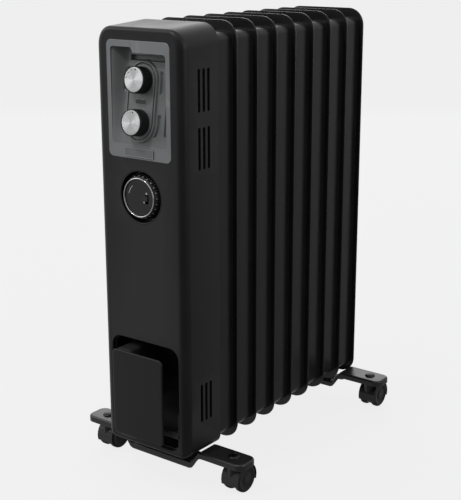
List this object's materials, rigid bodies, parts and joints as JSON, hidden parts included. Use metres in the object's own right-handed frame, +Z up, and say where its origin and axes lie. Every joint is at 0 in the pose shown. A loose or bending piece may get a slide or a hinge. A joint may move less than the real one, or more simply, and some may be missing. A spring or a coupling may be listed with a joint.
{
  "type": "oil filled radiator heater",
  "caption": "Portable oil filled column radiator with pressed steel fins, a control housing with two knobs, a timer dial and a cord wrap, on twin wheel castors",
  "frame": {"origin": "on the floor under the middle of the overall box", "axes": "+Z up; the control panel faces -Y; +X is to the right of someone facing the panel"},
  "size_m": [0.29, 0.4709, 0.64],
  "materials": {
    "fin_paint": "satin dark grey enamel",
    "foot_paint": "satin dark grey enamel",
    "housing_plastic": "fine textured dark grey moulding",
    "panel_plastic": "fine textured mid grey moulding",
    "black_plastic": "black moulding",
    "cap_aluminium": "spun satin",
    "badge_aluminium": "brushed",
    "trim_chrome": "polished",
    "zinc_steel": "bright zinc plate",
    "element_steel": "drawn steel tube",
    "lens_plastic": "dark amber lens",
    "brass": "dull",
    "ceramic": "unglazed",
    "gland_rubber": "matt",
    "wheel_plastic": "black moulding",
    "marking_plastic": "white moulding"
  },
  "bodies": {
    "heater": {"fin_1": "fin_paint", "fin_2": "fin_paint", "fin_3": "fin_paint", "fin_4": "fin_paint", "fin_5": "fin_paint", "fin_6": "fin_paint", "fin_7": "fin_paint", "fin_8": "fin_paint", "oil_filler_plug": "zinc_steel", "heating_element": "element_steel", "control_housing": "housing_plastic", "heat_shield": "zinc_steel", "control_fascia": "panel_plastic", "badge_plate": "badge_aluminium", "rotary_power_switch": "black_plastic", "thermostat_body": "brass", "indicator_lens": "lens_plastic", "indicator_lamp": "lens_plastic", "timer_body": "black_plastic", "timer_face": "black_plastic", "timer_trim_ring": "trim_chrome", "cord_wrap_plate": "housing_plastic", "cord_gland": "gland_rubber", "terminal_block": "ceramic", "tip_over_switch": "black_plastic", "thermal_cut_out": "zinc_steel", "wiring_loom": "gland_rubber", "front_foot": "foot_paint", "rear_foot": "foot_paint", "front_foot_bracket": "zinc_steel", "front_foot_screw_left": "zinc_steel", "front_foot_screw_right": "zinc_steel", "rear_foot_u_bolt": "zinc_steel", "rear_foot_wing_nut_left": "zinc_steel", "rear_foot_wing_nut_right": "zinc_steel", "castor_stem_front_left": "zinc_steel", "castor_stem_front_right": "zinc_steel", "castor_stem_rear_left": "zinc_steel", "castor_stem_rear_right": "zinc_steel"},
    "power_knob": {"power_knob": "black_plastic", "power_knob_cap": "cap_aluminium", "power_switch_shaft": "zinc_steel"},
    "thermostat_knob": {"thermostat_knob": "black_plastic", "thermostat_knob_cap": "cap_aluminium", "thermostat_shaft": "zinc_steel"},
    "timer_dial": {"timer_dial": "black_plastic"},
    "timer_override": {"timer_override_slider": "marking_plastic"},
    "castor_fork_front_left": {"castor_fork_front_left": "black_plastic"},
    "castor_wheel_front_left_left": {"castor_wheel_front_left_left": "wheel_plastic"},
    "castor_wheel_front_left_right": {"castor_wheel_front_left_right": "wheel_plastic"},
    "castor_fork_front_right": {"castor_fork_front_right": "black_plastic"},
    "castor_wheel_front_right_left": {"castor_wheel_front_right_left": "wheel_plastic"},
    "castor_wheel_front_right_right": {"castor_wheel_front_right_right": "wheel_plastic"},
    "castor_fork_rear_left": {"castor_fork_rear_left": "black_plastic"},
    "castor_wheel_rear_left_left": {"castor_wheel_rear_left_left": "wheel_plastic"},
    "castor_wheel_rear_left_right": {"castor_wheel_rear_left_right": "wheel_plastic"},
    "castor_fork_rear_right": {"castor_fork_rear_right": "black_plastic"},
    "castor_wheel_rear_right_left": {"castor_wheel_rear_right_left": "wheel_plastic"},
    "castor_wheel_rear_right_right": {"castor_wheel_rear_right_right": "wheel_plastic"}
  },
  "joints": [
    {"name": "power_knob_turn", "type": "hinge", "parent": "heater", "child": "power_knob", "pos_m": [0, -0.20719, 0.56753], "axis": [0, -0.9903, 0.1392], "range_deg": [-135, 0]},
    {"name": "thermostat_knob_turn", "type": "hinge", "parent": "heater", "child": "thermostat_knob", "pos_m": [0, -0.21484, 0.51307], "axis": [0, -0.9903, 0.1392], "range_deg": [-270, 0]},
    {"name": "timer_dial_turn", "type": "hinge", "parent": "heater", "child": "timer_dial", "pos_m": [0, -0.21601, 0.414], "axis": [0, -1, 0], "continuous": true},
    {"name": "timer_override_slide", "type": "slide", "parent": "heater", "child": "timer_override", "axis": [0, 0, 1], "range_m": [-0.0035, 0.0035]},
    {"name": "castor_swivel_front_left", "type": "hinge", "parent": "heater", "child": "castor_fork_front_left", "pos_m": [-0.118, -0.16901, 0.044], "axis": [0, 0, 1], "continuous": true},
    {"name": "castor_swivel_front_right", "type": "hinge", "parent": "heater", "child": "castor_fork_front_right", "pos_m": [0.118, -0.16901, 0.044], "axis": [0, 0, 1], "continuous": true},
    {"name": "castor_swivel_rear_left", "type": "hinge", "parent": "heater", "child": "castor_fork_rear_left", "pos_m": [-0.118, 0.20134, 0.044], "axis": [0, 0, 1], "continuous": true},
    {"name": "castor_swivel_rear_right", "type": "hinge", "parent": "heater", "child": "castor_fork_rear_right", "pos_m": [0.118, 0.20134, 0.044], "axis": [0, 0, 1], "continuous": true},
    {"name": "wheel_roll_front_left_left", "type": "hinge", "parent": "castor_fork_front_left", "child": "castor_wheel_front_left_left", "pos_m": [-0.1279, -0.15701, 0.02], "axis": [1, 0, 0], "continuous": true},
    {"name": "wheel_roll_front_left_right", "type": "hinge", "parent": "castor_fork_front_left", "child": "castor_wheel_front_left_right", "pos_m": [-0.1081, -0.15701, 0.02], "axis": [1, 0, 0], "continuous": true},
    {"name": "wheel_roll_front_right_left", "type": "hinge", "parent": "castor_fork_front_right", "child": "castor_wheel_front_right_left", "pos_m": [0.1081, -0.15701, 0.02], "axis": [1, 0, 0], "continuous": true},
    {"name": "wheel_roll_front_right_right", "type": "hinge", "parent": "castor_fork_front_right", "child": "castor_wheel_front_right_right", "pos_m": [0.1279, -0.15701, 0.02], "axis": [1, 0, 0], "continuous": true},
    {"name": "wheel_roll_rear_left_left", "type": "hinge", "parent": "castor_fork_rear_left", "child": "castor_wheel_rear_left_left", "pos_m": [-0.1279, 0.21334, 0.02], "axis": [1, 0, 0], "continuous": true},
    {"name": "wheel_roll_rear_left_right", "type": "hinge", "parent": "castor_fork_rear_left", "child": "castor_wheel_rear_left_right", "pos_m": [-0.1081, 0.21334, 0.02], "axis": [1, 0, 0], "continuous": true},
    {"name": "wheel_roll_rear_right_left", "type": "hinge", "parent": "castor_fork_rear_right", "child": "castor_wheel_rear_right_left", "pos_m": [0.1081, 0.21334, 0.02], "axis": [1, 0, 0], "continuous": true},
    {"name": "wheel_roll_rear_right_right", "type": "hinge", "parent": "castor_fork_rear_right", "child": "castor_wheel_rear_right_right", "pos_m": [0.1279, 0.21334, 0.02], "axis": [1, 0, 0], "continuous": true}
  ]
}
